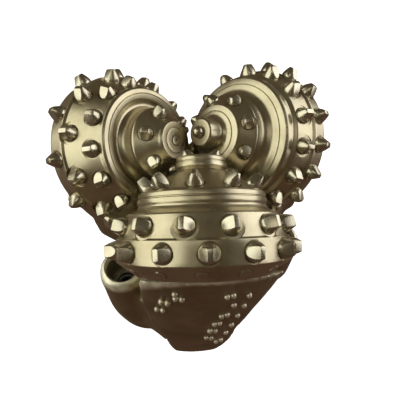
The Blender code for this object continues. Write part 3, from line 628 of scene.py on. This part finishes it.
def paint_edge_highlights(leg):
    """Stores a painted highlight on the dressed edges: how far the nozzle boss's lip and the shirttail's top edge are
    painted pale and bright.
    """
    centre = local(BOSS_R, BOSS_ANGLE, 0)
    values = []
    for vert in leg.data.vertices:
        x, y, depth = vert.co.x / MM, vert.co.y / MM, -vert.co.z / MM
        off_axis = math.hypot(x - centre.x, y - centre.y)
        boss = min(1.0, max(0.0, (BOSS_TOP + 11.5 - depth) / 5.0)) * min(1.0, max(0.0, (off_axis - 12.3) / 1.2)) * min(1.0, max(0.0, (21.5 - off_axis) / 1.0))
        t, angle = x * math.cos(J) + depth * math.sin(J), math.degrees(math.atan2(y, x))
        # the painted highlight band is wider and stronger on one side of the arm than on the other
        left = min(1.0, max(0.0, (-angle - 6.0) / 16.0))
        high = 103.2 + 0.7 * noise.noise(Vector((x, y, depth)) * 0.25) + 5.5 * left
        arm = min(1.0, max(0.0, (high - t) / (1.6 + 3.4 * left))) * min(1.0, max(0.0, (math.hypot(x, y) - 92.0) / 5)) * (0.95 if angle < 8 else max(0.25, 0.95 - (angle - 8) * 0.04))
        values.append(max(boss, arm))
    layer = leg.data.attributes.new("painted_highlight", "FLOAT", "POINT")
    layer.data.foreach_set("value", values)


def reservoir_frame():
    slope = Vector((ARM_LOW_R - NECK_R, 0, -CORNER_DEPTH + NECK_DEPTH)).normalized()
    inward = Vector((-slope.z, 0, slope.x))
    turn = inward.to_track_quat("Z", "Y").to_matrix().to_4x4()
    turn.translation = Vector(((ARM_LOW_R + NECK_R) / 2, 0, -(CORNER_DEPTH + NECK_DEPTH) / 2))
    return turn


def plug_line():
    return Vector((103.3, OFFSET, -81.4)), Vector((44.0, OFFSET, -52.8))


def journal():
    points = [(100.6, 0, 0), (100.6, 31.2, 0.2), (91.5, 31.2, 0.3), (91.5, 28.0, 0.2), (69.0, 28.0, 0.2), (65.6, 23.7, 0.8), (60.4, 23.7, 0.8),
              (57.0, 28.0, 0.2), (55.5, 28.0, 0.2), (55.5, 14.0, 0.2), (42.5, 14.0, 0.2), (41.0, 12.5, 0.3), (41.0, 0, 0)]
    return revolve(rounded(points), 72)


blank_leg = forging()
for key in LEG_ANGLES:
    leg = bpy.data.objects.new(f"looks_leg_{key}", blank_leg.data.copy())
    scene.collection.objects.link(leg)
    machined(leg, key)
    # painted highlight on the boss lip and shirttail top edge, stored on the mesh
    paint_edge_highlights(leg)
    world = leg_matrix(key)
    world.translation = world.translation * MM
    leg.matrix_world = world
    dress(leg, LEG_PAINT, "bit_body", [f"leg_{key}"], angle=40)
    pin = as_object(f"looks_journal_{key}", journal(), leg_matrix(key) @ CONE_IN_LEG)
    dress(pin, STEEL, "bit_body")
bpy.data.objects.remove(blank_leg, do_unlink=True)


# ------------------------------------------------------------------ hardfacing beads on the shirttails
def bead(bm, centre, normal, radius, rise):
    side = normal.orthogonal().normalized()
    other = normal.cross(side)
    rings = []
    for k in range(6):
        q = k * math.pi / 2 / 6
        r, h = radius * math.cos(q), rise * math.sin(q)
        rings.append([bm.verts.new(centre + r * (math.cos(a) * side + math.sin(a) * other) + (h - 0.6) * normal) for a in [2 * math.pi * j / 16 for j in range(16)]])
    tip = bm.verts.new(centre + (rise - 0.6) * normal)
    for a, b in zip(rings, rings[1:]):
        for j in range(16):
            m = (j + 1) % 16
            bm.faces.new((a[j], a[m], b[m], b[j]))
    for j in range(16):
        bm.faces.new((rings[-1][j], rings[-1][(j + 1) % 16], tip))
    bm.faces.new(list(reversed(rings[0])))


def skin_radius(depth):
    return ARM_R if depth < 140 else ARM_R + (ARM_LOW_R - ARM_R) * (depth - 140) / (CORNER_DEPTH - 140)


# weld beads on the outer face: (angle from the leg's direction, depth) along three falling lines, and a small group on the other side
BEADS = [(19.9, 61.3), (19.0, 78.6), (17.2, 95.5), (15.4, 113.2), (13.6, 129.3), (12.0, 148.3), (12.8, 52.5), (14.0, 70.2), (12.1, 86.7), (9.5, 102.5), (8.1, 118.9), (6.7, 135.8), (9.7, 150.1),
         (10.4, 52.2), (9.7, 87.4), (7.2, 102.1), (5.6, 116.6), (4.3, 132.9), (-8.9, 44.0), (-8.7, 50.5), (-6.4, 50.9), (-14.3, 60.3), (-11.9, 60.5), (-16.5, 75.8), (-14.1, 75.4)]
for key in LEG_ANGLES:
    bm = bmesh.new()
    spots = [(angle, depth, 2.35 + 0.4 * noise.noise(Vector((angle, depth, 3.0)))) for angle, depth in BEADS]
    for angle, depth, radius in spots:
        centre = local(skin_radius(depth), angle, depth)
        bead(bm, centre, Vector((centre.x, centre.y, 0)).normalized(), radius, radius * 1.05 + 0.6)
    upright(bm)
    beads = as_object(f"looks_beads_{key}", bm, leg_matrix(key))
    dress(beads, BEAD_PAINT, "bit_body", angle=60)


# ------------------------------------------------------------------ pin: taper thread, relief and shoulder
def pin_mesh():
    """Tapered pin with a helical thread, then the relief groove, shoulder bevel and shank."""
    count, pitch = 144, 5.08
    rows = []
    z = 3.0
    while z < 96.0:
        rows.append(z)
        z += 0.36
    bm = bmesh.new()
    rings = [[bm.verts.new((r * math.cos(2 * math.pi * k / count), r * math.sin(2 * math.pi * k / count), h)) for k in range(count)] for r, h in ((BORE_R, 1.2), (BORE_R + 1.2, 0.0), (PIN_END_R - 3.2, 0.0), (PIN_END_R - 1.4, 0.7))]
    for z in rows:
        crest = PIN_END_R + (PIN_BASE_R - PIN_END_R) * z / PIN_LENGTH - 0.1
        fade = min(1.0, max(0.0, (z - 3.0) / 6.0)) * min(1.0, max(0.0, (96.0 - z) / 7.0))
        ring = []
        for k in range(count):
            a = 2 * math.pi * k / count
            phase = (z / pitch - k / count) % 1.0
            tooth = abs(2 * phase - 1)
            depth = 2.9 * min(1.0, max(0.0, (tooth - 0.16) / 0.72)) * fade + (1.2 * (1 - fade) if z > 50 else 0.6 * (1 - fade))
            r = crest - depth
            ring.append(bm.verts.new((r * math.cos(a), r * math.sin(a), z)))
        rings.append(ring)
    for r, h in ((54.4, 97.2), (54.4, 104.6), (55.4, 106.6), (57.4, PIN_LENGTH), (SHOULDER_R - 0.2, PIN_LENGTH), (SHOULDER_R + 0.6, PIN_LENGTH + 0.7), (NECK_R - 0.6, PIN_LENGTH + 5.6),
                 (NECK_R - 0.3, PIN_LENGTH + 6.4), (NECK_R - 0.3, 112.6), (BORE_R, 112.6)):
        if h >= 112.6:
            h = 113.4 if r > 50 else 113.4
        rings.append([bm.verts.new((r * math.cos(2 * math.pi * k / count), r * math.sin(2 * math.pi * k / count), h)) for k in range(count)])
    for a, b in zip(rings, rings[1:] + rings[:1]):
        for k in range(count):
            m = (k + 1) % count
            bm.faces.new((a[k], a[m], b[m], b[k]))
    upright(bm)
    return bm


pin = as_object("looks_pin", pin_mesh())
dress(pin, PIN_PAINT, "bit_body", angle=28)


# ------------------------------------------------------------------ small pieces
def open_ring(outline, count, mouth):
    sections = []
    for k in range(count + 1):
        a = math.radians(mouth / 2 + (360.0 - mouth) * k / count)
        sections.append([Vector((r * math.cos(a), r * math.sin(a), z)) for r, z in outline])
    return loft(sections)


def round_section(points, count=72):
    return revolve([Vector((z, r)) for r, z in points], count)


for key in LEG_ANGLES:
    base = leg_matrix(key)
    seat = base @ Matrix.Translation(local(BOSS_R, BOSS_ANGLE, 0))
    nozzle = as_object(f"looks_nozzle_{key}", revolve(rounded([(-154.0, 12.0, 0), (-133.6, 12.0, 0.5), (-133.0, 11.2, 0.3), (-133.0, 8.2, 0.6), (-134.4, 7.0, 0.6), (-139.0, 5.6, 1.2), (-146.0, 5.5, 1.0), (-154.0, 8.4, 0)]), 72), seat)
    dress(nozzle, CARBIDE, "bit_body", [f"nozzle_{key}"])
    clip = as_object(f"looks_nozzle_clip_{key}", open_ring([(9.5, -131.2), (9.7, -131.3), (13.5, -131.3), (13.5, -129.4), (9.7, -129.4), (9.5, -129.6)], 40, 36.0), seat)
    dress(clip, STEEL, "bit_body", [f"nozzle_snap_ring_{key}"])
    ring = as_object(f"looks_nozzle_seal_{key}", round_section([(13.4 + 0.75 * math.cos(q), -147.2 + 1.2 * math.sin(q)) for q in [2 * math.pi * k / 16 for k in range(16)]]), seat)
    dress(ring, RUBBER, "bit_body", [f"nozzle_o_ring_{key}"], angle=60)
    mouth = base @ reservoir_frame()
    cap = as_object(f"looks_cap_{key}", revolve(rounded([(4.6, 0, 0), (4.6, 2.2, 0.2), (4.0, 2.6, 0.2), (4.0, 9.6, 0.4), (4.5, 10.3, 0.3), (7.9, 10.3, 0.3), (7.9, 0, 0)]), 64), mouth)
    dress(cap, PIN_PAINT, "bit_body", [f"reservoir_cap_{key}"])
    clip = as_object(f"looks_cap_clip_{key}", open_ring([(7.7, 1.9), (11.6, 1.9), (11.6, 3.2), (7.7, 3.2)], 40, 36.0), mouth)
    dress(clip, STEEL, "bit_body", [f"reservoir_snap_ring_{key}"])
    a, b = plug_line()
    along = (b - a).normalized()
    plug = as_object(f"looks_ball_plug_{key}", rod(a + 3.6 * along, b - 3.4 * along, 4.7, 48), base)
    dress(plug, LEG_PAINT, "bit_body", [f"ball_plug_{key}"])
    centre = base @ CONE_IN_LEG
    # loose balls in the retention race
    bm = bmesh.new()
    for n in range(17):
        a = 2 * math.pi * n / 17
        bmesh.ops.create_uvsphere(bm, u_segments=20, v_segments=12, radius=5.35, matrix=Matrix.Translation((29.5 * math.cos(a), 29.5 * math.sin(a), 63.0)))
    balls = as_object(f"looks_balls_{key}", bm, centre)
    dress(balls, BALL, f"balls_{key}", [f"ball_set_{key}"], angle=60)
    seal = as_object(f"looks_seal_{key}", round_section([(33.45 + 0.85 * math.cos(q), 94.6 + 2.7 * math.sin(q)) for q in [2 * math.pi * k / 20 for k in range(20)]], 96), centre)
    dress(seal, RUBBER, "bit_body", [f"seal_ring_{key}"], angle=60)
    bush = as_object(f"looks_bushing_{key}", round_section([(28.4, 71.3), (28.7, 71.0), (30.3, 71.0), (30.6, 71.3), (30.6, 90.1), (30.3, 90.4), (28.7, 90.4), (28.4, 90.1)], 96), centre)
    dress(bush, BRONZE, "bit_body", [f"journal_bushing_{key}"])
    washer = as_object(f"looks_washer_{key}", round_section([(15.0, 53.2), (15.2, 53.0), (27.4, 53.0), (27.6, 53.2), (27.6, 54.9), (27.4, 55.1), (15.2, 55.1), (15.0, 54.9)], 96), centre)
    dress(washer, BRONZE, "bit_body", [f"thrust_washer_{key}"])
    boot = as_object(f"looks_diaphragm_{key}", revolve([Vector((z, r)) for r, z in ((0.0, 26.0), (0.0, 24.4), (6.6, 24.4), (7.4, 23.4), (8.0, 8.6), (10.3, 8.6), (10.4, 9.6), (10.3, 10.6), (9.4, 10.6), (8.7, 25.0), (7.8, 26.0))], 64), mouth)
    dress(boot, RUBBER, "bit_body", [f"diaphragm_{key}"])


# ------------------------------------------------------------------ floor, light, camera
def stage_plane():
    bm = bmesh.new()
    bmesh.ops.create_grid(bm, x_segments=8, y_segments=8, size=3000)
    floor = as_object("floor", bm)
    floor.location.z = -0.0004
    made, nodes, links, shader = nodes_of("floor_paper")
    fine = add(nodes, "ShaderNodeTexNoise", Scale=60.0, Detail=3.0)
    tone = ramp_of(nodes, [(0.3, (0.90, 0.90, 0.90)), (0.7, (0.94, 0.94, 0.94))])
    links.new(fine.outputs["Fac"], tone.inputs["Fac"])
    links.new(tone.outputs["Color"], shader.inputs["Base Color"])
    shader.inputs["Roughness"].default_value = 0.9
    links.new(tone.outputs["Color"], shader.inputs["Emission Color"])
    shader.inputs["Emission Strength"].default_value = 0.86
    floor.data.materials.append(made)
    floor.visible_glossy = floor.visible_diffuse = False


stage_plane()

world = bpy.data.worlds.new("studio")
scene.world = world
world.use_nodes = True
wn, wl = world.node_tree.nodes, world.node_tree.links
sky = wn["Background"]
direction = wn.new("ShaderNodeTexCoord").outputs["Generated"]
split = wn.new("ShaderNodeSeparateXYZ")
wl.new(direction, split.inputs[0])
tone = wn.new("ShaderNodeValToRGB")
stops = [(0.0, (0.104, 0.058, 0.041)), (0.44, (0.107, 0.061, 0.041)), (0.54, (0.097, 0.065, 0.034)), (0.72, (0.076, 0.055, 0.028)), (1.0, (0.072, 0.055, 0.030))]
while len(tone.color_ramp.elements) < len(stops):
    tone.color_ramp.elements.new(0.5)
for element, (place, colour) in zip(tone.color_ramp.elements, stops):
    element.position, element.color = place, (*colour, 1.0)
half = wn.new("ShaderNodeMath")
half.operation = "MULTIPLY_ADD"
half.inputs[1].default_value, half.inputs[2].default_value = 0.5, 0.5
wl.new(split.outputs["Z"], half.inputs[0])
wl.new(half.outputs[0], tone.inputs["Fac"])
wl.new(tone.outputs["Color"], sky.inputs["Color"])
sky.inputs["Strength"].default_value = 1.0


def softbox(name, place, target, size, power, colour, wide=1.0):
    data = bpy.data.lights.new(name, "AREA")
    data.shape, data.size, data.size_y = "RECTANGLE", size, size * wide
    data.energy, data.color = power, colour
    lamp = bpy.data.objects.new(name, data)
    scene.collection.objects.link(lamp)
    lamp.location = place
    lamp.rotation_mode = "QUATERNION"
    lamp.rotation_quaternion = (Vector(target) - Vector(place)).to_track_quat("-Z", "Y")
    lamp.visible_camera = False
    return lamp


AIM = Vector((0.0, 0.0, 0.27))


def aimed(name, azimuth, elevation, distance, wide, high, radiance, colour):
    """Softbox seen from AIM in the given direction; radiance stays the same whatever its size."""
    a, e = math.radians(azimuth), math.radians(elevation)
    place = AIM + distance * Vector((math.cos(e) * math.cos(a), math.cos(e) * math.sin(a), math.sin(e)))
    return softbox(name, place, AIM, wide, radiance * math.pi * wide * high, colour, high / wide)


aimed("key_left", 188.0, 27.0, 1.1, 1.45, 1.35, 2.0, (0.96, 1.0, 0.94))
aimed("fill_right", 10.0, 20.0, 1.1, 1.20, 1.15, 2.35, (0.93, 0.95, 1.0))
aimed("front_top", -98.0, 64.0, 1.3, 0.50, 0.36, 1.3, (1.0, 0.96, 0.88))

camera = bpy.data.objects.new("camera", bpy.data.cameras.new("camera"))
scene.collection.objects.link(camera)
scene.camera = camera
right = Vector((0.99842786, -0.04826806, 0.02849553))
up = Vector((0.02101081, 0.79359672, 0.60808124))
camera.matrix_world = Matrix.Translation((-0.01084082, -0.19804825, 0.322 + 0.18085462)) @ Matrix((right, up, right.cross(up))).transposed().to_4x4()
camera.data.sensor_width = 36.0
camera.data.lens = 36.0 * 367.42677 / 400.0
camera.data.clip_start, camera.data.clip_end = 0.01, 20.0

scene.view_settings.view_transform = "Standard"
scene.view_settings.look = "None"
